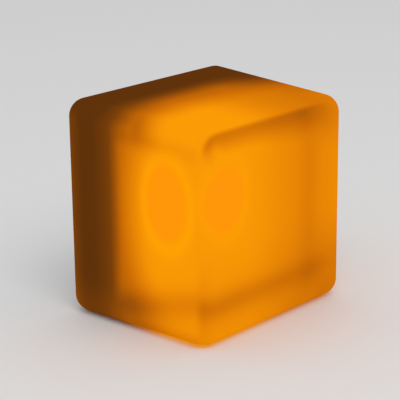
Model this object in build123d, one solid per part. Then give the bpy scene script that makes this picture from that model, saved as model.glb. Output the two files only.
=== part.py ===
from build123d import *
import math
import os

# A small rechargeable LED cube light, in millimetres. The lamp stands on one plain side, at z = 0, and
# its base looks back, along +Y. The origin is the middle of the whole lamp's footprint.
#
# Everything carried by the base is drawn looking at the lamp from behind: u to the right, v up, and w
# out of the back, with 0 at the shade's back face. So places inside the lamp have negative w.

# ---- Shade: a moulded block that narrows towards its front; the side it stands on is flat ----
back_width = 102.3
back_height = 101.0
shade_depth = 82.4
side_draft = 1.62              # degrees, left and right faces
top_draft = 3.2                # degrees, top face
edge_radius = 8.3
shade_wall = 2.4
boss_radius = 4.2
boss_length = 9.0              # in front of the ledge's wall

# ---- Base cover, sunk flush into the back ----
cover_width = 79.4
cover_corner = 7.0
cover_thickness = 3.0
cover_edge = 0.6
recess_clearance = 0.3
recess_edge = 0.8
gasket_thickness = 1.0
cover_screw_inset = 6.2        # from the cover's edge to a screw's centre
groove_inset = 1.5             # from the cover's edge to the groove round its face
groove_width = 0.7
groove_depth = 0.4

# ---- Tub ----
tub_width = 68.0
tub_corner = 14.0
tub_wall = 2.0
tub_front_depth = 33.0         # from the back face to the tub's front
tub_clearance = 0.5            # between the tub and the shade's opening
lip_height = 2.0
lip_thickness = 1.6
lip_clearance = 0.2
tub_seal_width = 1.0
tub_seal_depth = 0.7
column_pitch = 48.0
column_radius = 4.2
cover_boss_height = 3.0
cell_rib_thickness = 2.5
cell_rib_pitch = 30.0
cell_rib_side = 1.4            # outside the cells
wire_hole_radius = 4.0
wire_hole_v = 17.0

# ---- Feet ----
foot_radius = 5.0
foot_proud = 1.5
foot_sink = 0.8
foot_edge = 0.5
foot_clearance = 0.2

# ---- Screws ----
fit_gap = 0.05                 # a screw in its thread, an insert in its hole
hole_gap = 0.3                 # a screw through a plain hole
head_gap = 0.3
m3_radius = 1.5
m3_head_radius = 2.75
m3_head_height = 1.7
m3_length = 9.0
m3_land = 1.1                  # of the cover, under the head
insert_radius = 2.3
insert_length = 6.0
insert_waist = 1.2
insert_waist_radius = 2.0
m25_radius = 1.25
m25_head_radius = 2.3
m25_head_height = 1.5
m25_length = 11.0
dome_screw_length = 9.0
m2_radius = 1.0
m2_head_radius = 1.9
m2_head_height = 1.3
m2_length = 6.0
head_round = 0.45              # of the head's height
drive_reach = 1.15             # of the head's radius, from tip to tip
drive_slot = 0.28              # of the head's radius
drive_floor = 0.4              # of the head's height
tip_bevel = 0.4                # of the shank's radius
pilot_spare = 1.0              # a blind hole's depth beyond its screw

# ---- Power button and its switch ----
button_u = -14.0
button_radius = 5.8
button_proud = 0.8
button_travel = 0.6
button_gap = 0.3
button_edge = 0.5
button_dish_radius = 4.3
button_dish_depth = 0.35
button_ring = 1.4              # of the cover, from the button's hole to the groove round it
button_flange_width = 1.1
button_flange_thickness = 0.8
plunger_radius = 1.5
seal_ring_width = 1.8
seal_web = 0.4
switch_width = 6.0
switch_height = 3.5
stem_radius = 1.7
stem_proud = 0.9
stem_sink = 0.7
stem_gap = 0.3

# ---- Charging jack and its flap ----
jack_u = 14.0
jack_width = 9.4
jack_shoulder = 1.5            # from the cover's inner face to the jack's square body
nose_radius = 4.0
nose_gap = 0.2
socket_radius = 3.15
socket_floor = 0.6
pin_radius = 1.0
pin_sink = 1.0                 # the pin's tip, below the mouth
leaf_thickness = 0.3
leaf_width = 2.0
leaf_offset = 0.6              # from the socket's wall to the leaf's middle
tail_length = 2.6
tail_radius = 0.45
flap_width = 11.0
flap_thickness = 1.4
flap_reach = 15.0              # from the bend to the free end
flap_bend_v = 8.0              # the bend, above the jack's centre
flap_gap = 0.3
flap_floor_gap = 0.2
nub_radius = 2.75
nub_length = 1.2
pull_width = 6.0
pull_proud = 0.6
pull_thickness = 1.4
anchor_length = 4.0
anchor_bevel = 0.8             # beside the bend, so that the flap can turn past square
anchor_stem_radius = 1.2
anchor_barb = 0.7

# ---- Charging light ----
pipe_radius = 1.5
pipe_flange = 0.7
pipe_gap = 0.1
status_led_size = (2.0, 1.25, 0.8)

# ---- Control board ----
board_size = (58.0, 36.0)
board_corner = 2.0
board_thickness = 1.6
board_depth = 11.0             # from the back face to the board
board_screw_inset = 4.0
post_radius = 2.6
chip_chamfer = 0.25
controller_size = (8.7, 3.9, 1.5)
controller_place = (-12.0, -4.0)
charger_size = (4.9, 3.9, 1.5)
charger_place = (6.0, -4.0)
driver_size = (2.9, 1.6, 1.1)
driver_place = (-20.0, 4.0)    # the first of the row
driver_pitch = 6.0
can_radius = 2.5
can_height = 5.4
can_edge = 0.4
can_pitch = 40.0
small_capacitor_size = (1.6, 0.8, 0.8)
small_capacitor_count = 5
small_capacitor_pitch = 4.0
small_capacitor_v = -11.0
header_height = 5.5
header_depth = 5.0
header_wall = 0.6
header_v = 13.4
header_pitch = 24.0
plug_gap = 0.1
plug_proud = 2.0
wire_pitch = 2.0
wire_radius = 0.6
wire_straight = 3.0            # before a lead's first bend and after its last
wire_bend = 2.5
led_wire_gather = 0.8          # the pitch in the hole, over the pitch in the plug
battery_wire_out = 2.2         # from the small board to the run beside it
battery_wire_slack = 4.0
battery_wire_drop = 1.5        # below the cells' middle
battery_wire_bend = 0.9
led_wire_count = 4
battery_wire_count = 2

# ---- Battery ----
cell_radius = 7.1
cell_length = 50.0
cell_edge = 0.6
pack_v = -4.8
sleeve_thickness = 0.3
cell_gap = 0.05                # between a cell, its neighbour and the sleeve
rib_gap = 0.1
pad_thickness = 0.9
pad_size = (26.0, 14.0)
tab_thickness = 0.3
tab_width = 5.0
protection_size = (1.0, 20.0, 8.0)

# ---- Light board, reflector and dome ----
light_board_width = 54.0
light_board_corner = 6.0
light_board_thickness = 1.6
light_count = 8
light_ring_radius = 13.0
light_size = 5.0
light_height = 1.6
light_bowl_radius = 1.9
light_bowl_depth = 0.65
light_window_gap = 0.3
receiver_size = (5.0, 5.0, 2.2)
receiver_lens_radius = 2.2
reflector_width = 66.0
reflector_skin = 1.0
reflector_gap = 0.2
reflector_edge = 0.4
dome_radius = 21.0
dome_height = 9.0
dome_wall = 1.5
dome_flange = 1.4

# ---- Places that follow from the sizes ----
front_y = -(shade_depth + foot_proud) / 2
back_y = front_y + shade_depth
back_face = Plane(origin=(0, back_y, back_height / 2), x_dir=(-1, 0, 0), z_dir=(0, 1, 0))

recess_width = cover_width + 2 * recess_clearance
recess_corner = cover_corner + recess_clearance
ledge_depth = cover_thickness + gasket_thickness
opening_width = tub_width + 2 * tub_clearance
opening_corner = tub_corner + tub_clearance
cover_screw_place = cover_width / 2 - cover_screw_inset

tub_inner_width = tub_width - 2 * tub_wall
tub_inner_corner = tub_corner - tub_wall
tub_floor_depth = tub_front_depth - tub_wall
column_top_depth = cover_thickness + cover_boss_height
tub_screw_seat_depth = foot_sink + m25_head_height + head_gap

board_front_depth = board_depth + board_thickness
board_screw_place = (board_size[0] / 2 - board_screw_inset, board_size[1] / 2 - board_screw_inset)
switch_top_depth = board_depth - switch_height
stem_top_depth = switch_top_depth - stem_proud
flange_top_depth = cover_thickness
flap_pocket_depth = flap_thickness + flap_floor_gap
mouth_depth = flap_pocket_depth + flap_floor_gap / 2
bend_depth = flap_thickness / 2
anchor_start_v = flap_bend_v + flap_thickness / 2 + flap_gap
pocket_low_v = flap_bend_v - flap_reach - flap_gap
pocket_high_v = anchor_start_v + anchor_length + flap_gap

cell_depth = tub_floor_depth - pad_thickness - sleeve_thickness - cell_gap - cell_radius
cell_shift = cell_radius + cell_gap / 2
pack_end_round = cell_radius + cell_gap + sleeve_thickness
light_board_front_depth = tub_front_depth + light_board_thickness
reflector_front_depth = light_board_front_depth + reflector_skin
flange_front_depth = reflector_front_depth + dome_flange


# ---- Shapes that repeat ----
def corners(half_u, half_v):
    """The four corners of a rectangle."""
    return [(su * half_u, sv * half_v) for su in (-1, 1) for sv in (-1, 1)]


def disc(radius, low, high, place=(0, 0)):
    """A round bar along w from low to high."""
    return extrude(Pos(place[0], place[1], low) * Circle(radius), high - low)


def slab(width, height, corner, low, high, place=(0, 0)):
    """A round-cornered slab along w from low to high."""
    return extrude(Pos(place[0], place[1], low) * RectangleRounded(width, height, corner), high - low)


def block(size_u, size_v, low, high, place=(0, 0)):
    """A square-cornered block along w from low to high."""
    return extrude(Pos(place[0], place[1], low) * Rectangle(size_u, size_v), high - low)


def joined(shapes):
    """One solid out of several that meet."""
    whole = shapes[0]
    for shape in shapes[1:]:
        whole = whole + shape
    return whole


def top_rounded(solid, radius, axis=Axis.Z, end=-1):
    """A solid with the edges of its last face along an axis rounded."""
    return fillet(solid.faces().sort_by(axis)[end].edges(), radius)


def screw(radius, length, head_radius, head_height):
    """A pan-head screw with a cross recess: its head stands on w = 0 and its shank runs down."""
    head = top_rounded(disc(head_radius, 0, head_height), head_height * head_round)
    reach, slot = head_radius * drive_reach, head_radius * drive_slot
    for size_u, size_v in ((reach, slot), (slot, reach)):
        head = head - block(size_u, size_v, head_height * drive_floor, head_height)
    shank = disc(radius, -length, 0)
    shank = chamfer(shank.faces().sort_by(Axis.Z)[0].edges(), radius * tip_bevel)
    return head + shank


def screws_at(places, seat, facing, *sizes):
    """Screws whose heads stand on the depth seat and face out of the back (1) or towards the front (-1)."""
    turned = screw(*sizes) if facing > 0 else Rot(180, 0, 0) * screw(*sizes)
    return [Pos(u, v, seat) * turned for u, v in places]


def wire(points, radius, bends):
    """A round wire along straight runs joined by arcs."""
    path = FilletPolyline(*points, radius=bends)
    start = Plane(origin=path @ 0, z_dir=path % 0)
    return sweep(start * Circle(radius), path=path)


def stadium(grow, length):
    """The outline round both cells, grown on every side, as a bar along u."""
    profile = SlotCenterToCenter(2 * cell_shift, 2 * (cell_radius + grow))
    bar = extrude(Plane.YZ * profile, length / 2, both=True)
    return Pos(0, pack_v, -cell_depth) * bar


def cover_screw_places():
    return corners(cover_screw_place, cover_screw_place)


def column_places():
    return corners(column_pitch / 2, column_pitch / 2)


def board_screw_places():
    return corners(*board_screw_place)


def light_places():
    """The lights stand on a ring."""
    for index in range(light_count):
        angle = 360 * (index + 0.5) / light_count
        across = light_ring_radius * math.cos(math.radians(angle))
        up = light_ring_radius * math.sin(math.radians(angle))
        yield across, up, angle


# ---- Shade ----
def half_width_at(y):
    return back_width / 2 - (back_y - y) * math.tan(math.radians(side_draft))


def height_at(y):
    return back_height - (back_y - y) * math.tan(math.radians(top_draft))


def drafted_block(inset, radius):
    """The shade's outer form, taken in by inset on every side, with all its edges rounded."""
    back, front = back_y - inset, front_y + inset
    side_inset = inset / math.cos(math.radians(side_draft))
    top_inset = inset / math.cos(math.radians(top_draft))
    half_back, half_front = half_width_at(back) - side_inset, half_width_at(front) - side_inset
    high_back, high_front = height_at(back) - top_inset - inset, height_at(front) - top_inset - inset
    narrowing = half_back - half_front
    form = Wedge(
        2 * half_back,
        back - front,
        high_back,
        narrowing,
        0,
        2 * half_back - narrowing,
        high_front,
        align=(Align.CENTER, Align.MIN, Align.MIN),
    )
    form = Pos(0, back, inset) * Rot(0, 0, 180) * form
    return fillet(form.edges(), radius)


def make_shade():
    """A shell of even wall. Its back steps in to a ledge for the cover, with a boss behind each screw."""
    outer = drafted_block(0, edge_radius)
    cavity = drafted_block(shade_wall, edge_radius - shade_wall)
    pan_width = recess_width + 2 * shade_wall
    pan = slab(pan_width, pan_width, recess_corner + shade_wall, -ledge_depth - shade_wall, 0)
    bosses = [disc(boss_radius, -ledge_depth - shade_wall - boss_length, 0, p) for p in cover_screw_places()]
    hollow = cavity - back_face.location * joined([pan, *bosses])
    recess = slab(recess_width, recess_width, recess_corner, -ledge_depth, 1)
    opening = slab(opening_width, opening_width, opening_corner, -ledge_depth - shade_wall - boss_length, 0)
    cuts = [recess, opening]
    for place in cover_screw_places():
        cuts.append(disc(insert_radius + fit_gap, -ledge_depth - insert_length, 0, place))
        cuts.append(disc(m3_radius + hole_gap, -ledge_depth - m3_length, 0, place))
    shell = outer - hollow
    for cut in cuts:
        shell = shell - back_face.location * cut
    rim = shell.edges().filter_by_position(Axis.Y, back_y - 0.01, back_y + 0.01)
    rim = rim.filter_by(lambda edge: abs(edge.center().X) < recess_width / 2 + 0.01)
    rim = rim.filter_by(lambda edge: abs(edge.center().Z - back_height / 2) < recess_width / 2 + 0.01)
    return fillet(rim, recess_edge)


def make_threaded_inserts():
    """A brass sleeve with a waist, in each boss."""
    sleeve = disc(insert_radius, -insert_length, 0) - disc(m3_radius + fit_gap, -insert_length, 0)
    waist = disc(insert_radius, 0, insert_waist) - disc(insert_waist_radius, 0, insert_waist)
    sleeve = sleeve - Pos(0, 0, -(insert_length + insert_waist) / 2) * waist
    return [Pos(u, v, -ledge_depth) * sleeve for u, v in cover_screw_places()]


# ---- Cover ----
def make_cover_gasket():
    width, corner = cover_width - 2 * recess_clearance, cover_corner - recess_clearance
    ring = slab(width, width, corner, -ledge_depth, -cover_thickness)
    ring = ring - slab(opening_width, opening_width, opening_corner, -ledge_depth, -cover_thickness)
    for place in cover_screw_places():
        ring = ring - disc(m3_radius + hole_gap, -ledge_depth, -cover_thickness, place)
    return ring


def tub_seal_ring(gap):
    """The ring over the middle of the tub's rim, grown by gap on both sides and at its top."""
    middle, corner = tub_width - tub_wall, tub_corner - tub_wall / 2
    half = tub_seal_width / 2 + gap
    top = -cover_thickness + tub_seal_depth + gap
    outer = slab(middle + 2 * half, middle + 2 * half, corner + half, -cover_thickness, top)
    inner = slab(middle - 2 * half, middle - 2 * half, corner - half, -cover_thickness, top)
    return outer - inner


def make_base_cover():
    """A grooved plate with a lip inside the tub's rim, bosses for its screws and posts for the board."""
    plate = slab(cover_width, cover_width, cover_corner, -cover_thickness, 0)
    plate = top_rounded(plate, cover_edge)

    lip_width = tub_inner_width - 2 * lip_clearance
    lip_corner = tub_inner_corner - lip_clearance
    lip_end = -cover_thickness - lip_height
    lip = slab(lip_width, lip_width, lip_corner, lip_end, -cover_thickness)
    lip_bore = lip_width - 2 * lip_thickness
    lip = lip - slab(lip_bore, lip_bore, lip_corner - lip_thickness, lip_end, -cover_thickness)
    bosses = [disc(column_radius, -column_top_depth, -cover_thickness, p) for p in column_places()]
    posts = [disc(post_radius, -board_depth, -cover_thickness, p) for p in board_screw_places()]
    cover = joined([plate, lip, *bosses, *posts])

    cuts = [tub_seal_ring(fit_gap)]
    for place in cover_screw_places():
        cuts.append(disc(m3_radius + hole_gap, -cover_thickness, 0, place))
        cuts.append(disc(m3_head_radius + head_gap, -cover_thickness + m3_land, 0, place))
    for place in column_places():
        cuts.append(disc(foot_radius + foot_clearance, -foot_sink, 0, place))
        cuts.append(disc(m25_head_radius + head_gap, -tub_screw_seat_depth, 0, place))
        cuts.append(disc(m25_radius + hole_gap, -column_top_depth, 0, place))
    for place in board_screw_places():
        pilot_depth = m2_length - board_thickness + pilot_spare
        cuts.append(disc(m2_radius + fit_gap, -board_depth, -board_depth + pilot_depth, place))
    cuts.append(disc(button_radius + button_gap, -cover_thickness, 0, (button_u, 0)))
    cuts.append(disc(pipe_radius + pipe_gap, -cover_thickness, 0))
    groove_side, groove_corner = cover_width - 2 * groove_inset, cover_corner - groove_inset
    inner_side, inner_corner = groove_side - 2 * groove_width, groove_corner - groove_width
    border = slab(groove_side, groove_side, groove_corner, -groove_depth, 0)
    cuts.append(border - slab(inner_side, inner_side, inner_corner, -groove_depth, 0))
    ring_radius = button_radius + button_gap + button_ring
    ring = disc(ring_radius + groove_width, -groove_depth, 0) - disc(ring_radius, -groove_depth, 0)
    cuts.append(Pos(button_u, 0, 0) * ring)
    pocket_height = pocket_high_v - pocket_low_v
    pocket_middle = (pocket_high_v + pocket_low_v) / 2
    pocket_width = flap_width + 2 * flap_gap
    cuts.append(block(pocket_width, pocket_height, -flap_pocket_depth, 0, (jack_u, pocket_middle)))
    cuts.append(disc(nose_radius + nose_gap, -cover_thickness, 0, (jack_u, 0)))
    cuts.append(disc(anchor_stem_radius + fit_gap, -cover_thickness, 0, (jack_u, anchor_stem_v())))
    for cut in cuts:
        cover = cover - cut
    return cover


def anchor_stem_v():
    return anchor_start_v + anchor_length / 2


def make_cover_screws():
    seat = -cover_thickness + m3_land
    return screws_at(cover_screw_places(), seat, 1, m3_radius, m3_length, m3_head_radius, m3_head_height)


def make_tub_screws():
    seat = -tub_screw_seat_depth
    return screws_at(column_places(), seat, 1, m25_radius, m25_length, m25_head_radius, m25_head_height)


def make_rubber_feet():
    foot = top_rounded(disc(foot_radius, -foot_sink, foot_proud), foot_edge)
    return [Pos(u, v, 0) * foot for u, v in column_places()]


# ---- Tub ----
def make_base_tub():
    """A cup with four columns, two ribs that hold the battery and a hole for the wires."""
    cup = slab(tub_width, tub_width, tub_corner, -tub_front_depth, -cover_thickness)
    inside = slab(tub_inner_width, tub_inner_width, tub_inner_corner, -tub_floor_depth, -cover_thickness)
    cup = cup - inside
    columns = [disc(column_radius, -tub_floor_depth, -column_top_depth, p) for p in column_places()]
    rib_height = 2 * (cell_shift + pack_end_round + rib_gap + cell_rib_side)
    rib_top = -cell_depth + cell_radius / 2
    ribs = []
    for side in (-1, 1):
        place = (side * cell_rib_pitch / 2, pack_v)
        rib = block(cell_rib_thickness, rib_height, -tub_floor_depth, rib_top, place)
        ribs.append(rib - stadium(cell_gap + sleeve_thickness + rib_gap, cell_length))
    tub = joined([cup, *columns, *ribs])
    for place in column_places():
        rear_depth = m25_length + tub_screw_seat_depth + pilot_spare
        tub = tub - disc(m25_radius + fit_gap, -rear_depth, -column_top_depth, place)
        front_depth = flange_front_depth - dome_screw_length - pilot_spare
        tub = tub - disc(m25_radius + fit_gap, -tub_front_depth, -front_depth, place)
    return tub - disc(wire_hole_radius, -tub_front_depth, -tub_floor_depth, (0, wire_hole_v))


# ---- Power button ----
def make_button_cap():
    """A round, dished cap held in by its flange, with a plunger that meets the switch's stem."""
    cap = top_rounded(disc(button_radius, -flange_top_depth, button_proud), button_edge)
    dish_ball = (button_dish_radius**2 + button_dish_depth**2) / (2 * button_dish_depth)
    cap = cap - Pos(0, 0, button_proud - button_dish_depth + dish_ball) * Sphere(dish_ball)
    flange_low = -flange_top_depth - button_flange_thickness
    flange = disc(button_radius + button_flange_width, flange_low, -flange_top_depth)
    plunger = disc(plunger_radius, -stem_top_depth, flange_low)
    return Pos(button_u, 0, 0) * joined([cap, flange, plunger])


def make_button_seal():
    """A ring stuck to the cover's inner face, with a thin web round the plunger."""
    inner = button_radius + button_flange_width + button_gap
    outer = inner + seal_ring_width
    web_top = -flange_top_depth - button_flange_thickness - button_travel - button_gap
    ring = disc(outer, web_top, -flange_top_depth) - disc(inner, web_top, -flange_top_depth)
    web = disc(outer, web_top - seal_web, web_top)
    web = web - disc(plunger_radius + button_gap, web_top - seal_web, web_top)
    return Pos(button_u, 0, 0) * (ring + web)


def make_switch_body():
    well_depth = stem_sink + button_travel + stem_gap
    body = block(switch_width, switch_width, -board_depth, -switch_top_depth)
    body = body - disc(stem_radius + stem_gap, -switch_top_depth - well_depth, -switch_top_depth)
    return Pos(button_u, 0, 0) * body


def make_switch_stem():
    return disc(stem_radius, -switch_top_depth - stem_sink, -stem_top_depth, (button_u, 0))


# ---- Charging jack ----
def make_charging_jack():
    """A square body on the board, with a round nose in the cover's hole and a slot for the spring leaf."""
    body = block(jack_width, jack_width, -board_depth, -cover_thickness - jack_shoulder)
    nose = disc(nose_radius, -cover_thickness - jack_shoulder, -mouth_depth)
    jack = body + nose
    socket_end = -board_depth + socket_floor
    jack = jack - disc(socket_radius, socket_end, -mouth_depth)
    jack = jack - disc(pin_radius + fit_gap, -board_depth, socket_end)
    slot_width = leaf_width + 2 * fit_gap
    slot_height = jack_width / 2 - socket_radius + fit_gap
    slot_place = (0, -socket_radius - slot_height / 2)
    slot_top = -cover_thickness - 2 * jack_shoulder
    jack = jack - block(slot_width, slot_height, -board_depth, slot_top, slot_place)
    return Pos(jack_u, 0, 0) * jack


def make_jack_contacts():
    """The centre pin and the spring leaf, each with a tail through the board."""
    pin = disc(pin_radius, -board_depth, -mouth_depth - pin_sink)
    pin = fillet(pin.faces().sort_by(Axis.Z)[-1].edges(), pin_radius / 2)
    pin = pin + disc(tail_radius, -board_depth - tail_length, -board_depth)
    leaf_v = -socket_radius - leaf_offset
    leaf_top = -cover_thickness - 2 * jack_shoulder - leaf_thickness
    leaf = block(leaf_width, leaf_thickness, -board_depth, leaf_top, (0, leaf_v))
    leaf = leaf + disc(tail_radius, -board_depth - tail_length, -board_depth + leaf_thickness, (0, leaf_v))
    return [Pos(jack_u, 0, 0) * piece for piece in (pin, leaf)]


def make_jack_flap():
    """A soft plate that lies flush in its pocket, turns about its round end and plugs the mouth."""
    reach_middle = flap_bend_v - flap_reach / 2
    plate = block(flap_width, flap_reach, -flap_thickness, 0, (0, reach_middle))
    bend = extrude(Plane.YZ * Circle(flap_thickness / 2), flap_width / 2, both=True)
    plate = plate + Pos(0, flap_bend_v, -bend_depth) * bend
    nub = disc(nub_radius, -flap_thickness - nub_length, -flap_thickness)
    pull_v = flap_bend_v - flap_reach + pull_thickness
    pull = block(pull_width, pull_thickness, -flap_thickness, pull_proud, (0, pull_v))
    return Pos(jack_u, 0, 0) * joined([plate, nub, pull])


def make_flap_anchor():
    """The flap's fixed end, with a barbed stem through the cover."""
    plate = block(flap_width, anchor_length, -flap_thickness, 0, (0, anchor_stem_v()))
    bend_edge = plate.edges().filter_by(Axis.X).group_by(Axis.Z)[-1].sort_by(Axis.Y)[0]
    plate = chamfer(bend_edge, anchor_bevel)
    stem = disc(anchor_stem_radius, -cover_thickness - flap_gap, -flap_thickness, (0, anchor_stem_v()))
    barb_high = -cover_thickness - flap_gap
    barb_low = barb_high - 2 * anchor_barb
    barb = disc(anchor_stem_radius + anchor_barb, barb_low, barb_high, (0, anchor_stem_v()))
    pad = block(flap_width, anchor_length, -flap_pocket_depth, -flap_thickness, (0, anchor_stem_v()))
    return Pos(jack_u, 0, 0) * joined([plate, pad, stem, barb])


# ---- Charging light ----
def make_status_light_pipe():
    flange = disc(pipe_radius + pipe_flange, -cover_thickness - pipe_flange, -cover_thickness)
    end = -board_depth + status_led_size[2] + hole_gap
    return disc(pipe_radius, end, 0) + flange


def make_status_led():
    return block(status_led_size[0], status_led_size[1], -board_depth, -board_depth + status_led_size[2])


# ---- Control board ----
def make_control_board():
    board = slab(board_size[0], board_size[1], board_corner, -board_front_depth, -board_depth)
    for place in board_screw_places():
        board = board - disc(m2_radius + hole_gap, -board_front_depth, -board_depth, place)
    for place in ((jack_u, 0), (jack_u, -socket_radius - leaf_offset)):
        board = board - disc(tail_radius + fit_gap, -board_front_depth, -board_depth, place)
    return board


def make_board_screws():
    seat = -board_front_depth
    return screws_at(board_screw_places(), seat, -1, m2_radius, m2_length, m2_head_radius, m2_head_height)


def on_board_front(size, place):
    """A block that stands on the board's front side."""
    low = -board_front_depth - size[2]
    return block(size[0], size[1], low, -board_front_depth, place)


def chip(size, place):
    """A moulded package with its outer edges bevelled."""
    body = on_board_front(size, place)
    return chamfer(body.faces().sort_by(Axis.Z)[0].edges(), chip_chamfer)


def make_control_chips():
    """The controller, the charger and a driver for each colour."""
    chips = [chip(controller_size, controller_place), chip(charger_size, charger_place)]
    for index in range(led_wire_count - 1):
        chips.append(chip(driver_size, (driver_place[0] + driver_pitch * index, driver_place[1])))
    return chips


def make_capacitors():
    """Two low cans beside the headers, and a row of small ones."""
    pieces = []
    for side in (-1, 1):
        low = -board_front_depth - can_height
        can = disc(can_radius, low, -board_front_depth, (side * can_pitch / 2, header_v))
        pieces.append(top_rounded(can, can_edge, end=0))
    for index in range(small_capacitor_count):
        across = small_capacitor_pitch * (index - (small_capacitor_count - 1) / 2)
        pieces.append(on_board_front(small_capacitor_size, (across, small_capacitor_v)))
    return pieces


def header_places():
    """The lights' header on the left and the battery's on the right, with their numbers of ways."""
    return ((-header_pitch / 2, led_wire_count), (header_pitch / 2, battery_wire_count))


def header_width(ways):
    return wire_pitch * ways + 2 * header_wall


def make_board_headers():
    headers = []
    for u, ways in header_places():
        low = -board_front_depth - header_height
        shell = block(header_width(ways), header_depth, low, -board_front_depth, (u, header_v))
        well_depth = header_depth - 2 * header_wall
        well = block(wire_pitch * ways, well_depth, low, -board_front_depth - header_wall, (u, header_v))
        headers.append(shell - well)
    return headers


def plug_end_depth():
    return board_front_depth + header_height + plug_proud


def make_wire_plugs():
    plugs = []
    for u, ways in header_places():
        size_u = wire_pitch * ways - 2 * plug_gap
        size_v = header_depth - 2 * header_wall - 2 * plug_gap
        high = -board_front_depth - header_wall
        plugs.append(block(size_u, size_v, -plug_end_depth(), high, (u, header_v)))
    return plugs


def wire_offsets(ways):
    return [wire_pitch * (index - (ways - 1) / 2) for index in range(ways)]


def make_led_wires():
    """From the left header, down through the hole in the tub's front, to the back of the light board."""
    wires = []
    start_u, ways = header_places()[0]
    for offset in wire_offsets(ways):
        hole_u = offset * led_wire_gather
        points = [
            (start_u + offset, header_v, -plug_end_depth()),
            (start_u + offset, header_v, -plug_end_depth() - wire_straight),
            (hole_u, wire_hole_v, -tub_floor_depth + wire_straight),
            (hole_u, wire_hole_v, -tub_front_depth),
        ]
        wires.append(wire(points, wire_radius, wire_bend))
    return wires


def make_battery_wires():
    """From the battery's small board, round the pack's end, to the right header."""
    wires = []
    start_u, ways = header_places()[1]
    first_u = cell_end_u() + tab_thickness + protection_size[0]
    run_u = first_u + battery_wire_out
    run_v = header_v - wire_pitch
    for offset in wire_offsets(ways):
        run_depth = cell_depth + battery_wire_drop + offset
        points = [
            (first_u, pack_v + offset, -cell_depth),
            (run_u, pack_v + offset, -cell_depth),
            (run_u, run_v, -run_depth),
            (start_u + battery_wire_slack, header_v, -run_depth),
            (start_u - offset, header_v, -plug_end_depth() - wire_pitch),
            (start_u - offset, header_v, -plug_end_depth()),
        ]
        wires.append(wire(points, wire_radius, battery_wire_bend))
    return wires


# ---- Battery ----
def cell_end_u():
    return cell_length / 2


def make_battery_cells():
    cells = []
    for side in (-1, 1):
        can = extrude(Plane.YZ * Circle(cell_radius), cell_length / 2, both=True)
        can = fillet(can.edges(), cell_edge)
        cells.append(Pos(0, pack_v + side * cell_shift, -cell_depth) * can)
    return cells


def make_battery_sleeve():
    return stadium(cell_gap + sleeve_thickness, cell_length) - stadium(cell_gap, cell_length)


def make_battery_tabs():
    """A strip across both cells at each end."""
    tabs = []
    for side in (-1, 1):
        outline = Plane.YZ * Rectangle(2 * cell_shift + tab_width, tab_width)
        strip = extrude(outline, tab_thickness / 2, both=True)
        tabs.append(Pos(side * (cell_end_u() + tab_thickness / 2), pack_v, -cell_depth) * strip)
    return tabs


def make_battery_protection_board():
    board = Box(*protection_size)
    middle_u = cell_end_u() + tab_thickness + protection_size[0] / 2
    return Pos(middle_u, pack_v, -cell_depth) * board


def make_battery_pad():
    return block(pad_size[0], pad_size[1], -tub_floor_depth, -tub_floor_depth + pad_thickness, (0, pack_v))


# ---- Light board, reflector and dome ----
def make_led_board():
    width, corner = light_board_width, light_board_corner
    board = slab(width, width, corner, -light_board_front_depth, -tub_front_depth)
    for place in column_places():
        board = board - disc(m25_radius + hole_gap, -light_board_front_depth, -tub_front_depth, place)
    return board


def make_led_packages():
    """Square lights, each with a shallow round bowl in its front."""
    package = block(light_size, light_size, -light_height, 0)
    package = package - disc(light_bowl_radius, -light_height, -light_height + light_bowl_depth)
    front = -light_board_front_depth
    return [Pos(u, v, front) * Rot(0, 0, angle) * package for u, v, angle in light_places()]


def make_remote_receiver():
    low = -light_board_front_depth - receiver_size[2]
    body = block(receiver_size[0], receiver_size[1], low, -light_board_front_depth)
    return body + Pos(0, 0, low) * Sphere(receiver_lens_radius)


def make_reflector():
    """A plate over the light board, with a window for each light and for the receiver."""
    corner = tub_corner - (tub_width - reflector_width) / 2
    plate = slab(reflector_width, reflector_width, corner, -reflector_front_depth, -tub_front_depth)
    plate = top_rounded(plate, reflector_edge, end=0)
    pocket = light_board_width + 2 * reflector_gap
    pocket_corner = light_board_corner + reflector_gap
    plate = plate - slab(pocket, pocket, pocket_corner, -light_board_front_depth, -tub_front_depth)
    window = light_size + 2 * light_window_gap
    for u, v, angle in light_places():
        cut = block(window, window, -reflector_front_depth, -light_board_front_depth)
        plate = plate - Pos(u, v, 0) * Rot(0, 0, angle) * cut
    receiver_window = receiver_size[0] + 2 * light_window_gap
    plate = plate - block(receiver_window, receiver_window, -reflector_front_depth, -light_board_front_depth)
    for place in column_places():
        plate = plate - disc(m25_radius + hole_gap, -reflector_front_depth, -light_board_front_depth, place)
    return plate


def make_light_dome():
    """A thin domed cap on a square flange."""
    sphere_radius = (dome_radius**2 + dome_height**2) / (2 * dome_height)
    sphere_depth = flange_front_depth + dome_height - sphere_radius
    width, corner = light_board_width, light_board_corner
    flange = slab(width, width, corner, -flange_front_depth, -reflector_front_depth)
    outside = Pos(0, 0, -sphere_depth) * Sphere(sphere_radius)
    cap_zone = disc(dome_radius + dome_wall, -flange_front_depth - dome_height, -flange_front_depth)
    dome = flange + (outside & cap_zone)
    dome = dome - Pos(0, 0, -sphere_depth) * Sphere(sphere_radius - dome_wall)
    for place in column_places():
        dome = dome - disc(m25_radius + hole_gap, -flange_front_depth, -reflector_front_depth, place)
    return dome


def make_dome_screws():
    seat = -flange_front_depth
    sizes = (m25_radius, dome_screw_length, m25_head_radius, m25_head_height)
    return screws_at(column_places(), seat, -1, *sizes)


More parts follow.
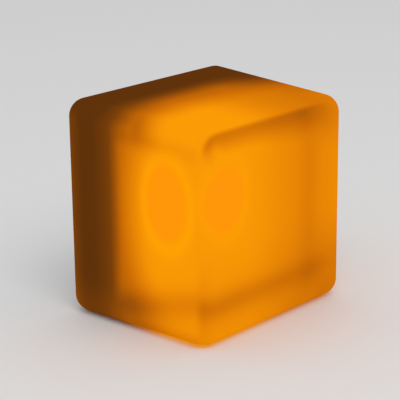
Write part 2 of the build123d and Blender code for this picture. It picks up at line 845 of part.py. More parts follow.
# ---- The lamp ----
base_pieces = {
    "threaded_inserts": make_threaded_inserts(),
    "cover_gasket": make_cover_gasket(),
    "base_cover": make_base_cover(),
    "cover_screws": make_cover_screws(),
    "base_tub": make_base_tub(),
    "tub_gasket": tub_seal_ring(0),
    "tub_screws": make_tub_screws(),
    "rubber_feet": make_rubber_feet(),
    "button_cap": make_button_cap(),
    "button_seal": make_button_seal(),
    "switch_body": make_switch_body(),
    "switch_stem": make_switch_stem(),
    "charging_jack": make_charging_jack(),
    "jack_contacts": make_jack_contacts(),
    "jack_flap": make_jack_flap(),
    "flap_anchor": make_flap_anchor(),
    "status_light_pipe": make_status_light_pipe(),
    "status_led": make_status_led(),
    "control_board": make_control_board(),
    "board_screws": make_board_screws(),
    "control_chips": make_control_chips(),
    "capacitors": make_capacitors(),
    "board_headers": make_board_headers(),
    "wire_plugs": make_wire_plugs(),
    "led_wires": make_led_wires(),
    "battery_wires": make_battery_wires(),
    "battery_cells": make_battery_cells(),
    "battery_tabs": make_battery_tabs(),
    "battery_protection_board": make_battery_protection_board(),
    "battery_sleeve": make_battery_sleeve(),
    "battery_pad": make_battery_pad(),
    "led_board": make_led_board(),
    "led_packages": make_led_packages(),
    "remote_receiver": make_remote_receiver(),
    "reflector": make_reflector(),
    "light_dome": make_light_dome(),
    "dome_screws": make_dome_screws(),
}


def write_node(name, piece):
    """One file for each node; a node of several like pieces keeps them as separate solids."""
    solids = []
    for shape in piece if isinstance(piece, list) else [piece]:
        solids.extend(shape.solids())
    export_step(Compound(solids), f"parts/{name}.step")


os.makedirs("parts", exist_ok=True)
write_node("shade", make_shade())
for name, piece in base_pieces.items():
    pieces = piece if isinstance(piece, list) else [piece]
    write_node(name, [back_face.location * shape for shape in pieces])
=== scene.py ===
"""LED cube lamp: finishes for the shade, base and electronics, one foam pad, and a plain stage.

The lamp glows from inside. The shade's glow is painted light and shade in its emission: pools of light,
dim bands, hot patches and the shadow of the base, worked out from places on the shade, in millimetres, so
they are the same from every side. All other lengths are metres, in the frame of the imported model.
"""
import math

import bmesh
import bpy
from mathutils import Matrix, Vector


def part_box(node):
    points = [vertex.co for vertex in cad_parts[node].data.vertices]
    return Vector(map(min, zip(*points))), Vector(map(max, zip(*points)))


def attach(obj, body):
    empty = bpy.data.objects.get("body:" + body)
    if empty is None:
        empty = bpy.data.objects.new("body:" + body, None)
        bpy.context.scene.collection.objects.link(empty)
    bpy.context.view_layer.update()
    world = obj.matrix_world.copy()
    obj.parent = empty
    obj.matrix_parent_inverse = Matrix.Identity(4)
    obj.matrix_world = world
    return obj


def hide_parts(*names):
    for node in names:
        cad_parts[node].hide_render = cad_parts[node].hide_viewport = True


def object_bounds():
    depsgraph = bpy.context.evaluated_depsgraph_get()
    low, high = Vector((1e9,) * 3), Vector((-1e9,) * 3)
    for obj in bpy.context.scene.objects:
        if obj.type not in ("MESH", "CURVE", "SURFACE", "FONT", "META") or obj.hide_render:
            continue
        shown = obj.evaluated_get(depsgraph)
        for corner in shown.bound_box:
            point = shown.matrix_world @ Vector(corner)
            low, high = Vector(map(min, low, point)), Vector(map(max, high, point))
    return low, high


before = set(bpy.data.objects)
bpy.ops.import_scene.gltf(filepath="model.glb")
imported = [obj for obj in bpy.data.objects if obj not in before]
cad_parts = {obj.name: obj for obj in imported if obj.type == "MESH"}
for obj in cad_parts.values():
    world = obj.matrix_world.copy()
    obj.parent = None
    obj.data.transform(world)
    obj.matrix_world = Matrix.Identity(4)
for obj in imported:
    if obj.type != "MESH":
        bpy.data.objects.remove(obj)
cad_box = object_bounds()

bl_info = {
    "name": "Cube Lamp Finishes",
    "version": (1, 0, 0),
    "blender": (4, 5, 0),
    "location": "3D View > Sidebar > Cube Lamp",
    "description": "Dresses a glowing cube lamp and sets a plain stage for it",
    "category": "Object",
}

MM = 0.001

# The shade's outside in millimetres. It gets narrower and lower from its back end to its front.
SHADE_BACK, SHADE_FRONT = 40.45, -41.95
HALF_WIDTH, SIDE_DRAFT = 51.15, 0.02828
HEIGHT, ROOF_DRAFT = 101.0, 0.05591

# The ring of lights on the light board: the height of its middle and its radius, in millimetres.
RING_HEIGHT, RING_RADIUS, LIGHT_COUNT = 50.5, 13.0, 8


# ---------------------------------------------------------------- Colours and properties

def linear(red, green, blue):
    """A scene-linear colour from the 8-bit values that a colour picker shows."""
    def channel(value):
        share = value / 255.0
        return share / 12.92 if share <= 0.04045 else ((share + 0.055) / 1.055) ** 2.4
    return channel(red), channel(green), channel(blue)


DUST_COLOUR = linear(170, 164, 155)
BLACK = (0.0, 0.0, 0.0)


def toned(tint, factor):
    """A colour made darker or paler by a factor, up to white."""
    return tuple(min(1.0, channel * factor) for channel in tint)


def colour(name, description, red, green, blue):
    """A colour property, whose default is given as 8-bit values."""
    return bpy.props.FloatVectorProperty(
        name=name, description=description, subtype="COLOR", size=3, min=0.0, max=1.0,
        default=linear(red, green, blue))


def share(name, description, default):
    """A property from 0 to 1."""
    return bpy.props.FloatProperty(
        name=name, description=description, subtype="FACTOR", min=0.0, max=1.0, default=default)


def length(name, description, default):
    """A length property, in metres."""
    return bpy.props.FloatProperty(name=name, description=description, unit="LENGTH", default=default)


def angle(name, description, degrees):
    """An angle property, whose default is given in degrees."""
    return bpy.props.FloatProperty(
        name=name, description=description, unit="ROTATION", subtype="ANGLE", default=math.radians(degrees))


def number(name, description, default):
    """A plain number property."""
    return bpy.props.FloatProperty(name=name, description=description, default=default)


# ---------------------------------------------------------------- Writing node trees as sums

class Field:
    """A value that varies over a surface: a shader node's output that can be added, scaled and compared."""

    def __init__(self, tree, socket):
        self.tree = tree
        self.socket = socket

    def math(self, operation, *others):
        """The result of a maths node, with this value first."""
        node = self.tree.nodes.new("ShaderNodeMath")
        node.operation = operation
        for place, value in enumerate((self, *others)):
            feed(self.tree, value, node.inputs[place])
        return Field(self.tree, node.outputs[0])

    def __add__(self, other):
        return self.math("ADD", other)

    def __sub__(self, other):
        return self.math("SUBTRACT", other)

    def __mul__(self, other):
        return self.math("MULTIPLY", other)

    def __rsub__(self, other):
        return self * -1.0 + other


def feed(tree, value, socket):
    """Links a Field or a socket to an input, or sets the input to a plain value."""
    if isinstance(value, Field):
        tree.links.new(value.socket, socket)
    elif isinstance(value, bpy.types.NodeSocket):
        tree.links.new(value, socket)
    else:
        socket.default_value = value


def rise(value, low, high, bottom=0.0, top=1.0):
    """A smooth step: bottom up to low, top from high on."""
    node = value.tree.nodes.new("ShaderNodeMapRange")
    node.interpolation_type = "SMOOTHSTEP"
    for name, given in (("Value", value), ("From Min", low), ("From Max", high),
                        ("To Min", bottom), ("To Max", top)):
        feed(value.tree, given, node.inputs[name])
    return Field(value.tree, node.outputs["Result"])


def bell(value, centre, width):
    """A smooth bump: 1 at its centre, and about a third at width from it."""
    away = (value - centre) * (1.0 / width)
    return (away * away * -1.0).math("EXPONENT")


def least(a, b):
    """The smaller of two values."""
    return a.math("MINIMUM", b)


def most(a, b):
    """The larger of two values."""
    return a.math("MAXIMUM", b)


def distance(a, b):
    """How long a and b are together, at right angles."""
    return (a * a + b * b).math("SQRT")


def oval(a, b, centre, reach):
    """How far a place lies from an oval's centre: 1 on the oval itself, whose half axes are reach."""
    return distance((a - centre[0]) * (1 / reach[0]), (b - centre[1]) * (1 / reach[1]))


def mixed(tree, amount, first, second):
    """A colour between first and second. Each may be a colour or a socket."""
    node = tree.nodes.new("ShaderNodeMix")
    node.data_type = "RGBA"
    feed(tree, amount, node.inputs["Factor"])
    for given, name in ((first, "A"), (second, "B")):
        socket = [s for s in node.inputs if s.name == name and s.type == "RGBA"][0]
        feed(tree, given if isinstance(given, bpy.types.NodeSocket) else (*given, 1.0), socket)
    return [s for s in node.outputs if s.type == "RGBA"][0]


def surface_places(tree):
    """Where a point of the surface is: its x, y and z as Fields in millimetres."""
    where = tree.nodes.new("ShaderNodeTexCoord")
    apart = tree.nodes.new("ShaderNodeSeparateXYZ")
    tree.links.new(where.outputs["Object"], apart.inputs[0])
    return [Field(tree, apart.outputs[i]) * (1.0 / MM) for i in range(3)]


def noise(tree, scale, detail=3.0, roughness=0.55, stretch=None):
    """Cloudy noise from 0 to 1 over the object, with scale in turns per metre."""
    where = tree.nodes.new("ShaderNodeTexCoord").outputs["Object"]
    if stretch:
        mapping = tree.nodes.new("ShaderNodeMapping")
        mapping.inputs["Scale"].default_value = stretch
        tree.links.new(where, mapping.inputs["Vector"])
        where = mapping.outputs["Vector"]
    node = tree.nodes.new("ShaderNodeTexNoise")
    tree.links.new(where, node.inputs["Vector"])
    feed(tree, scale, node.inputs["Scale"])
    node.inputs["Detail"].default_value = detail
    node.inputs["Roughness"].default_value = roughness
    return Field(tree, node.outputs["Fac"])


def new_group(name, inputs, outputs):
    """An empty shader node group. inputs and outputs are lists of (name, socket type, default)."""
    tree = bpy.data.node_groups.new(name, "ShaderNodeTree")
    for in_out, sockets in (("INPUT", inputs), ("OUTPUT", outputs)):
        for label, kind, default in sockets:
            socket = tree.interface.new_socket(name=label, in_out=in_out, socket_type=kind)
            if default is not None:
                socket.default_value = default
    entry = tree.nodes.new("NodeGroupInput")
    result = tree.nodes.new("NodeGroupOutput")
    return tree, entry, result


FLOAT = "NodeSocketFloat"
WEAR_SAMPLES = 6
HOLLOW_REACH = 0.0015   # how far apart a hollow's walls may stand and still count, in metres


def grain_group():
    """The fine texture that a mould leaves, and the slow drift of tone over a moulding."""
    tree, entry, result = new_group(
        "Moulded Grain", [("Scale", FLOAT, 4000.0)], [("Height", FLOAT, None), ("Tone", FLOAT, None)])
    scale = Field(tree, entry.outputs["Scale"])
    fine = noise(tree, scale, roughness=0.6)
    broad = noise(tree, scale * 0.012, roughness=0.5)
    feed(tree, fine, result.inputs["Height"])
    feed(tree, rise(broad * 0.85 + fine * 0.15, 0.3, 0.7), result.inputs["Tone"])
    return tree


def streak_group():
    """The fine lines of drawn, turned or rolled metal, along Y."""
    tree, entry, result = new_group(
        "Drawn Streaks", [("Scale", FLOAT, 3000.0)], [("Height", FLOAT, None), ("Tone", FLOAT, None)])
    scale = Field(tree, entry.outputs["Scale"])
    lines = noise(tree, scale, stretch=(1.0, 0.06, 1.0))
    spots = noise(tree, scale * 0.06)
    feed(tree, lines, result.inputs["Height"])
    feed(tree, rise(lines * 0.4 + spots * 0.6, 0.25, 0.75), result.inputs["Tone"])
    return tree


def wear_group():
    """Outer edges that handling has rubbed: where a rounded normal leaves the true one, except in hollows."""
    tree, entry, result = new_group("Edge Wear", [("Reach", FLOAT, 0.0006)], [("Mask", FLOAT, None)])
    rounded = tree.nodes.new("ShaderNodeBevel")
    rounded.samples = WEAR_SAMPLES
    feed(tree, Field(tree, entry.outputs["Reach"]), rounded.inputs["Radius"])
    alike = tree.nodes.new("ShaderNodeVectorMath")
    alike.operation = "DOT_PRODUCT"
    tree.links.new(rounded.outputs["Normal"], alike.inputs[0])
    tree.links.new(tree.nodes.new("ShaderNodeNewGeometry").outputs["Normal"], alike.inputs[1])
    turned = rise(Field(tree, alike.outputs["Value"]), 0.9, 0.99, 1.0, 0.0)
    hollow = tree.nodes.new("ShaderNodeAmbientOcclusion")
    hollow.samples = WEAR_SAMPLES
    hollow.only_local = True
    hollow.inputs["Distance"].default_value = HOLLOW_REACH
    outside = rise(Field(tree, hollow.outputs["AO"]), 0.8, 0.95)
    patches = rise(noise(tree, 260.0, detail=4.0), 0.35, 0.62)
    feed(tree, turned * outside * patches, result.inputs["Mask"])
    return tree


def dust_group():
    """A thin film of dust where the surface faces up."""
    tree, entry, result = new_group("Settled Dust", [("Amount", FLOAT, 0.1)], [("Mask", FLOAT, None)])
    facing = tree.nodes.new("ShaderNodeTexCoord").outputs["Normal"]
    apart = tree.nodes.new("ShaderNodeSeparateXYZ")
    tree.links.new(facing, apart.inputs[0])
    upward = rise(Field(tree, apart.outputs[2]), 0.3, 0.95)
    specks = rise(noise(tree, 420.0, detail=6.0, roughness=0.72), 0.4, 0.7)
    amount = Field(tree, entry.outputs["Amount"])
    feed(tree, upward * specks * amount, result.inputs["Mask"])
    return tree


GROUPS = {"Moulded Grain": grain_group, "Drawn Streaks": streak_group,
          "Edge Wear": wear_group, "Settled Dust": dust_group}


def placed(tree, name, **values):
    """Puts a shared node group into a tree, building it the first time, and returns its outputs as Fields."""
    group = bpy.data.node_groups.get(name) or GROUPS[name]()
    node = tree.nodes.new("ShaderNodeGroup")
    node.node_tree = group
    for label, value in values.items():
        feed(tree, value, node.inputs[label])
    return {s.name: Field(tree, s) for s in node.outputs}


# ---------------------------------------------------------------- Materials

def new_material(name):
    """An empty material with its Principled shader: (material, tree, shader)."""
    material = bpy.data.materials.new(name)
    material.use_nodes = True
    tree = material.node_tree
    return material, tree, tree.nodes["Principled BSDF"]


def raised(tree, shader, height, depth):
    """Feeds a height into the shader's normal, with its full depth in metres."""
    bump = tree.nodes.new("ShaderNodeBump")
    bump.inputs["Distance"].default_value = depth
    bump.inputs["Strength"].default_value = 1.0
    feed(tree, height, bump.inputs["Height"])
    tree.links.new(bump.outputs["Normal"], shader.inputs["Normal"])


def toned_roughness(tree, shader, tone, rough, spread=0.1):
    """Lets the shader's roughness follow the tone, spread around a middle value."""
    feed(tree, tone * spread + (rough - spread / 2), shader.inputs["Roughness"])


def moulded(name, base, rough, scale=4000.0, depth=0.00002, drift=0.12, worn=0.0, dust=0.0,
            group="Moulded Grain", metal=0.0, specular=0.5, coat=0.0, painted=None):
    """A grained finish: tone that drifts, roughness that follows it, rubbed edges and dust.

    painted, if given, is called with the tree, the base colour and the tone, and returns the colour's socket.
    """
    material, tree, shader = new_material(name)
    grain = placed(tree, group, Scale=scale)
    tone = grain["Tone"]
    base = tuple(base)
    if painted:
        result = painted(tree, base, tone)
    else:
        result = mixed(tree, tone, toned(base, 1.0 - drift), toned(base, 1.0 + drift))
    if worn:
        rubbed = placed(tree, "Edge Wear")["Mask"] * worn
        result = mixed(tree, rubbed, result, tuple(channel * 0.5 + 0.25 for channel in base))
    if dust:
        film = placed(tree, "Settled Dust", Amount=dust)["Mask"]
        result = mixed(tree, film, result, DUST_COLOUR)
    tree.links.new(result, shader.inputs["Base Color"])
    toned_roughness(tree, shader, tone, rough, 0.12)
    shader.inputs["Metallic"].default_value = metal
    shader.inputs["Specular IOR Level"].default_value = specular
    shader.inputs["Coat Weight"].default_value = coat
    raised(tree, shader, grain["Height"], depth)
    return material


def dress(node, material):
    """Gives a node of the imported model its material."""
    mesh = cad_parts[node].data
    mesh.materials.clear()
    mesh.materials.append(material)


# ---------------------------------------------------------------- The shade and its painted light and shade

GLOW_TOP = 170.0        # the level at the end of the colour ramp
BACK_EDGE_GLOW = 54.0   # the level on the rounded back edge
LINE_RADIUS = 9.5       # of the dim line's bend, in millimetres


def from_faces(x, y, z):
    """How far a place lies from the shade's back, left, nearer side, top and front, in that order."""
    depth = SHADE_BACK - y
    half = HALF_WIDTH - depth * SIDE_DRAFT
    left = x + half
    return depth, left, least(left, half - x), HEIGHT - depth * ROOF_DRAFT - z, y - SHADE_FRONT


def side_glow(depth, under, y, z):
    """The sides, painted light and shade: the shadow of the tub behind its rim, lighter along the back edge,
    then a tall pool of light with dim bands above and below it, and darker at the bottom.
    """
    past_rim = rise(depth, 27.5, 36.5)
    lit = rise(depth, 16.5, 40.5, 50.0, 76.0) + past_rim * 27.5
    rims = rise(depth, 0.0, 13.0, 20.0, 0.0) + rise(z, 0.0, 22.5, 9.0, 0.0) * (1.0 - past_rim)
    pool = rise(oval(least(depth, 71.0), under, (71.0, 40.0), (23.5, 45.0)), 0.84, 1.74, 48.0, 0.0)
    halo = bell(oval(y, z, (-21.7, 63.0), (13.3, 20.4)), 1.0, 0.22) * 8.0
    low_band = bell(under + (depth - 60.0) * 0.29, 80.5, 7.0) * 23.5
    high_band = bell(under, 9.0, 4.2) * rise(depth, 48.0, 72.0, 12.0, 6.0)
    return lit + rims + past_rim * (pool + halo - low_band - high_band - rise(z, 0.0, 10.0, 14.5, 0.0))


def top_glow(depth, left):
    """The top, painted light and shade: the shadow of the tub, then light growing towards the front and the
    near corner.
    """
    near = rise(depth, 21.0, 38.0)
    far = rise(depth, 30.0, 59.0)
    left_end = (near - far) * rise(left, 0.0, 32.5, 22.0, 0.0)
    right_end = (near - far * 0.6) * rise(left, 60.0, 95.0, 0.0, 40.0)
    corner = rise(depth, 60.0, 76.0, 0.0, 12.0) * rise(left, 74.0, 94.0)
    return near * 44.5 + far * rise(left, 27.0, 68.0, 60.0, 30.0) + corner - (left_end + right_end) + 50.0


def front_glow(left, under, front, x, z):
    """The front, painted light and shade: bright before the light, dimmer to the right and towards the
    bottom, with dim bands where the dome ends.
    """
    across = rise(left, 24.0, 67.0, 152.0, 134.0) + rise(left, 70.5, 98.0, 0.0, 5.0)
    right_band = bell(left, 71.0, 7.5) * rise(z, 4.0, 17.0, 0.0, 9.0)
    halo = bell(oval(x, z, (-34.0, 66.5), (12.5, 17.5)), 1.0, 0.22) * 4.0
    low_dark = (rise(left, 10.0, 75.0) * -12.0 + 24.5) * rise(left, 72.0, 88.0, 1.0, 0.3)
    low_band = bell(z, 19.4, 6.0) * low_dark
    lower = rise(under, 45.0, 85.0, 0.0, 11.5) + rise(z, 0.0, 5.0, 11.0, 0.0)
    lower = lower + rise(left, 45.0, 75.0) * rise(z, 6.0, 16.0, 5.0, 0.0)
    right_rim = rise(left, 71.0, 84.0) * (rise(z, 14.0, 50.0, 7.5, 0.0) + rise(z, 70.0, 90.0, 0.0, 14.0))
    low_line = rise(under, 45.0, 78.0, 0.0, 5.0) * rise(left - front, -0.5, 8.4, 1.0, 0.0)
    return across + halo - right_band - right_rim - low_band - lower - low_line


def painted_edge_shade(left, under, front):
    """A painted line of shade under the front's top edge. It hooks round the near corner and fades at the far
    one.
    """
    in_left, in_top = left - front, under - front
    in_corner = LINE_RADIUS - distance(most(LINE_RADIUS - in_left, 0.0), most(LINE_RADIUS - in_top, 0.0))
    in_corner = in_corner + most(least(in_left, in_top) - LINE_RADIUS, 0.0)
    ends = rise(in_left - in_top, -10.5, 1.0) * rise(left, 64.0, 93.0, 1.0, 0.0)
    width = rise(in_left, 3.0, 16.0, 8.0, 12.0) + rise(left, 25.0, 70.0, 0.0, 5.0)
    return rise(in_corner, -3.4, 1.0) * rise(in_corner, 1.0, width, 35.0, 0.0) * ends


def glow_level(x, y, z, faces):
    """How brightly a place on the shade glows with painted light and shade, as an 8-bit green. faces is what
    from_faces gives.
    """
    depth, left, side, under, front = faces
    on_side = side_glow(depth, under, y, z)
    on_top = top_glow(depth, left)
    # painted shade: a dark band along the crease between the sides and the top
    along_crease = rise(depth, 40.0, 46.0, 0.0, 15.5) - rise(depth, 47.0, 63.0, 0.0, 15.5)
    painted_crease_shade = bell(side - under, -3.4, 9.0) * along_crease
    beside = on_side + (on_top - on_side) * rise(side - under, -10.0, 0.0) - painted_crease_shade
    beside = beside + (on_top - beside) * rise(side - z, -2.0, 4.0)
    beside = (beside - BACK_EDGE_GLOW) * rise(depth, 0.3, 5.0) + BACK_EDGE_GLOW
    over_front = rise(side - front, -6.5, 0.0) * rise(least(under, z) - front, -4.1, 0.0)
    on_front = front_glow(left, under, front, x, z)
    return beside + (on_front - beside) * over_front - painted_edge_shade(left, under, front)


def core_level(x, y, z, faces):
    """Where the painted hot, redder patches of light are: 1 inside them and 0 outside."""
    _, _, side, _, front = faces
    on_side = rise(oval(y, z, (-21.0, 63.8), (11.0, 17.0)), 0.8, 1.12, 1.0, 0.0)
    on_front = rise(oval(x, z, (-35.0, 66.0), (12.4, 14.5)), 0.84, 1.1, 1.0, 0.0)
    is_front = rise(side - front, -2.0, 2.0)
    return on_side + (on_front - on_side) * is_front


class ShadeSettings(bpy.types.PropertyGroup):
    # painted shade: Body is a dark amber, not the plastic's milky white, so that the shade stays dim in even
    # light
    body: colour("Body", "The shade's own colour, apart from its glow", 40, 21, 6)
    # The glow colours below are painted light and shade, the base's shadow among them, in the shade's
    # emission.
    unlit: colour("Unlit glow", "The glow in the shadow of the base", 73, 36, 6)
    glimmer: colour("Glimmer glow", "The glow that leaks past the base", 115, 59, 5)
    ember: colour("Ember glow", "The glow at the shadow's edge", 157, 81, 3)
    amber: colour("Amber glow", "The glow in the dim bands", 200, 106, 0)
    orange: colour("Orange glow", "The glow over most of the faces", 233, 135, 0)
    bright: colour("Bright glow", "The glow at its brightest", 255, 160, 0)
    core: colour("Core glow", "The redder patches before the light", 255, 149, 4)
    roughness: share("Roughness", "How matt the frosted surface is", 0.7)
    frosting: length("Frosting", "The depth of the frosted texture", 0.000012)


# The shade setting that colours the glow at each level. Between two of them the colour blends.
GLOW_STOPS = (("unlit", 44.0), ("glimmer", 64.0), ("ember", 84.0), ("amber", 109.0),
              ("orange", 137.0), ("bright", 161.0))


def glow_group():
    """The colour of the shade's painted glow, its light and shade, at each place on the shade."""
    tree, _, result = new_group("Lamp Glow", [], [("Colour", "NodeSocketColor", None)])
    settings = bpy.context.scene.lamp_shade
    x, y, z = surface_places(tree)
    faces = from_faces(x, y, z)
    level = glow_level(x, y, z, faces) * (1.0 / GLOW_TOP)
    ramp = tree.nodes.new("ShaderNodeValToRGB")
    points = ramp.color_ramp.elements
    while len(points) < len(GLOW_STOPS):
        points.new(0.5)
    for point, (name, place) in zip(points, GLOW_STOPS):
        point.position = place / GLOW_TOP
        point.color = (*getattr(settings, name), 1.0)
    feed(tree, level, ramp.inputs["Fac"])
    hot = mixed(tree, core_level(x, y, z, faces), ramp.outputs["Color"], settings.core)
    tree.links.new(hot, result.inputs["Colour"])
    return tree


def frosted_shade():
    """The milky shade: frosted, faintly mottled, darkened to a dim amber as painted shade, and glowing with
    painted light as if lit from inside.
    """
    settings = bpy.context.scene.lamp_shade
    material, tree, shader = new_material("Frosted Shade")
    grain = placed(tree, "Moulded Grain", Scale=5200.0)
    # painted shade: the darkened body colour, mottled by the grain's tone
    mottled = mixed(tree, grain["Tone"], settings.body, toned(settings.body, 1.12))
    tree.links.new(mottled, shader.inputs["Base Color"])
    toned_roughness(tree, shader, grain["Tone"], settings.roughness)
    raised(tree, shader, grain["Height"], settings.frosting)
    glow = tree.nodes.new("ShaderNodeGroup")
    glow.node_tree = bpy.data.node_groups.get("Lamp Glow") or glow_group()
    tree.links.new(glow.outputs["Colour"], shader.inputs["Emission Color"])
    shader.inputs["Emission Strength"].default_value = 1.0
    shader.inputs["Specular IOR Level"].default_value = 0.0
    return material


class LAMP_OT_shade(bpy.types.Operator):
    """Dresses the frosted shade and lights it from inside"""
    bl_idname = "lamp.shade"
    bl_label = "Shade"

    def execute(self, context):
        dress("shade", frosted_shade())
        return {"FINISHED"}


# ---------------------------------------------------------------- Base, controls and seals

class BaseSettings(bpy.types.PropertyGroup):
    cover: colour("Cover", "The spark-textured base cover", 68, 68, 71)
    tub: colour("Tub", "The opaque tub inside", 55, 55, 58)
    button: colour("Button", "The power button's cap", 150, 152, 154)
    rubber: colour("Rubber", "Feet and socket flap", 38, 38, 40)
    silicone: colour("Silicone", "Gaskets and the button's seal", 176, 178, 179)
    switch: colour("Switch", "The switch's housing", 84, 84, 88)
    stem: colour("Stem", "The switch's stem", 110, 96, 88)
    socket: colour("Socket", "The charging socket's moulding", 48, 48, 48)
    pipe: colour("Light pipe", "The clear rod of the charging light", 238, 243, 245)
    status: colour("Status light", "The small light behind the rod", 246, 238, 203)
    dust: share("Dust", "How much dust lies on the upward faces", 0.12)


class LAMP_OT_base(bpy.types.Operator):
    """Dresses the base cover, the tub, the feet and the gaskets"""
    bl_idname = "lamp.base"
    bl_label = "Base, feet and gaskets"

    def execute(self, context):
        settings = context.scene.lamp_base
        dress("base_cover", moulded("Spark Textured Cover", settings.cover, 0.58, scale=5200.0, depth=0.00003,
                                    drift=0.07, worn=0.3, dust=settings.dust, specular=0.4))
        dress("base_tub", moulded("Opaque Tub", settings.tub, 0.5, scale=4200.0, depth=0.00003,
                                  drift=0.07, worn=0.2, dust=settings.dust * 0.5, specular=0.4))
        dress("rubber_feet", moulded("Foot Rubber", settings.rubber, 0.82, scale=5200.0, depth=0.00004,
                                     drift=0.2, worn=0.5, dust=settings.dust * 1.5, specular=0.25))
        silicone = moulded("Grey Silicone", settings.silicone, 0.6, scale=3600.0, depth=0.00002,
                           drift=0.06, dust=settings.dust, specular=0.3)
        for node in ("cover_gasket", "tub_gasket", "button_seal"):
            dress(node, silicone)
        return {"FINISHED"}


class LAMP_OT_controls(bpy.types.Operator):
    """Dresses the power button, its switch, the charging socket and the charging light"""
    bl_idname = "lamp.controls"
    bl_label = "Button, socket and charging light"

    def execute(self, context):
        settings = context.scene.lamp_base
        dress("button_cap", moulded("Satin Button", settings.button, 0.42, scale=5600.0, depth=0.000015,
                                    drift=0.06, worn=0.4, dust=settings.dust * 0.5))
        dress("switch_body", moulded("Switch Housing", settings.switch, 0.46, scale=5000.0))
        dress("switch_stem", moulded("Switch Stem", settings.stem, 0.44, scale=6000.0))
        dress("charging_jack", moulded("Socket Moulding", settings.socket, 0.34, scale=4800.0, depth=0.00001,
                                       worn=0.2))
        flap = moulded("Flap Rubber", settings.rubber, 0.78, scale=4600.0, depth=0.00003, drift=0.18,
                       worn=0.45, dust=settings.dust * 1.2, specular=0.25)
        for node in ("jack_flap", "flap_anchor"):
            dress(node, flap)
        dress("status_light_pipe", clear_pipe(settings.pipe))
        dress("status_led", moulded("Status Light", settings.status, 0.3, scale=9000.0, depth=0.000005))
        return {"FINISHED"}


ACRYLIC_IOR = 1.49


def clear_pipe(tint):
    """Clear plastic with polished ends and faintly drawn sides."""
    material, tree, shader = new_material("Clear Pipe")
    streaks = placed(tree, "Drawn Streaks", Scale=5000.0)
    tree.links.new(mixed(tree, streaks["Tone"], toned(tint, 0.95), tint), shader.inputs["Base Color"])
    toned_roughness(tree, shader, streaks["Tone"], 0.26, 0.08)
    shader.inputs["Transmission Weight"].default_value = 0.35
    shader.inputs["IOR"].default_value = ACRYLIC_IOR
    raised(tree, shader, streaks["Height"], 0.000004)
    return material


# ---------------------------------------------------------------- Metal fixings and contacts

class MetalSettings(bpy.types.PropertyGroup):
    zinc: colour("Zinc", "Plated screws", 205, 207, 209)
    brass: colour("Brass", "Threaded inserts", 228, 201, 144)
    tin: colour("Tin", "The socket's contacts", 230, 229, 225)
    nickel: colour("Nickel", "Welded battery strips", 220, 218, 212)
    can: colour("Can", "Battery cells and capacitors", 214, 215, 218)


class LAMP_OT_metals(bpy.types.Operator):
    """Dresses the screws, inserts, contacts and battery strips"""
    bl_idname = "lamp.metals"
    bl_label = "Screws, inserts and contacts"

    def execute(self, context):
        settings = context.scene.lamp_metals
        zinc = moulded("Zinc Plated Steel", settings.zinc, 0.34, scale=3800.0, depth=0.000012, drift=0.1,
                       group="Drawn Streaks", metal=1.0, worn=0.3)
        for node in ("cover_screws", "tub_screws", "board_screws", "dome_screws"):
            dress(node, zinc)
        for node, name, base, rough in (
                ("threaded_inserts", "Turned Brass", settings.brass, 0.3),
                ("jack_contacts", "Tinned Contact", settings.tin, 0.22),
                ("battery_tabs", "Rolled Nickel", settings.nickel, 0.28),
                ("battery_cells", "Cell Can", settings.can, 0.3),
                ("capacitors", "Capacitor Can", settings.can, 0.26)):
            dress(node, moulded(name, base, rough, scale=4200.0, depth=0.00001, drift=0.1,
                                group="Drawn Streaks", metal=1.0))
        return {"FINISHED"}


# ---------------------------------------------------------------- Circuit boards, wires and battery

class CircuitSettings(bpy.types.PropertyGroup):
    board: colour("Board", "Green solder mask", 48, 128, 89)
    white_board: colour("White board", "White solder mask of the light board", 243, 243, 240)
    track: colour("Track", "How copper tracks tint the mask", 78, 158, 104)
    chip: colour("Chip", "Moulded chip bodies", 56, 56, 59)
    nylon: colour("Nylon", "Headers and plugs", 240, 239, 232)
    red_wire: colour("Red wire", "Supply wires", 202, 60, 52)
    dark_wire: colour("Dark wire", "Return wires", 42, 42, 44)
    green_wire: colour("Green wire", "Wires of the green lights", 62, 148, 84)
    blue_wire: colour("Blue wire", "Wires of the blue lights", 58, 96, 180)
    sleeve: colour("Sleeve", "Shrink film round the battery", 62, 124, 182)
    foam: colour("Foam", "The pad under the battery", 112, 112, 115)
    receiver: colour("Receiver", "The remote receiver's dark lens", 88, 70, 70)


TRACK_PITCH = (1.9, 2.3)    # from track to track across and along, in millimetres
TRACK_WANDER = 2.0          # how far they stray sideways


def tracked(track):
    """A painter for circuit boards: the mask, tinted where copper tracks lie under it."""
    def paint(tree, base, tone):
        x, y, z = surface_places(tree)
        wander = noise(tree, 160.0, detail=1.0) * TRACK_WANDER
        across, along = (((place + wander) * (1.0 / pitch)).math("FRACT")
                         for place, pitch in zip((x, z), TRACK_PITCH))
        pick = rise(noise(tree, 110.0, detail=0.0), 0.46, 0.54)
        lines = rise(across, 0.60, 0.66) * pick + rise(along, 0.62, 0.68) * (1.0 - pick)
        plain = mixed(tree, tone, toned(base, 0.88), base)
        return mixed(tree, lines, plain, track)
    return paint


WIRE_STEP = 0.001   # half the width of the step from one wire's colour to the next


def sorted_wires(*insulations):
    """A painter for wires: each wire of a bundle takes one of the colours given."""
    def paint(tree, base, tone):
        wire = Field(tree, tree.nodes.new("ShaderNodeNewGeometry").outputs["Random Per Island"])
        result = insulations[0]
        for count, insulation in enumerate(insulations[1:], 1):
            place = count / len(insulations)
            result = mixed(tree, rise(wire, place - WIRE_STEP, place + WIRE_STEP), result, insulation)
        return mixed(tree, tone * 0.12, result, BLACK)
    return paint


PAD_GRID = (26, 14)
PAD_CROWN = 0.35        # how far the rim lies lower than the middle, as a share of half the thickness
PAD_RIM_POWER = 8       # how sharply the crown falls to the rim
PAD_SAG = 0.012         # how far the middle gives
PAD_PULL = 0.01         # how far the corners are pulled in


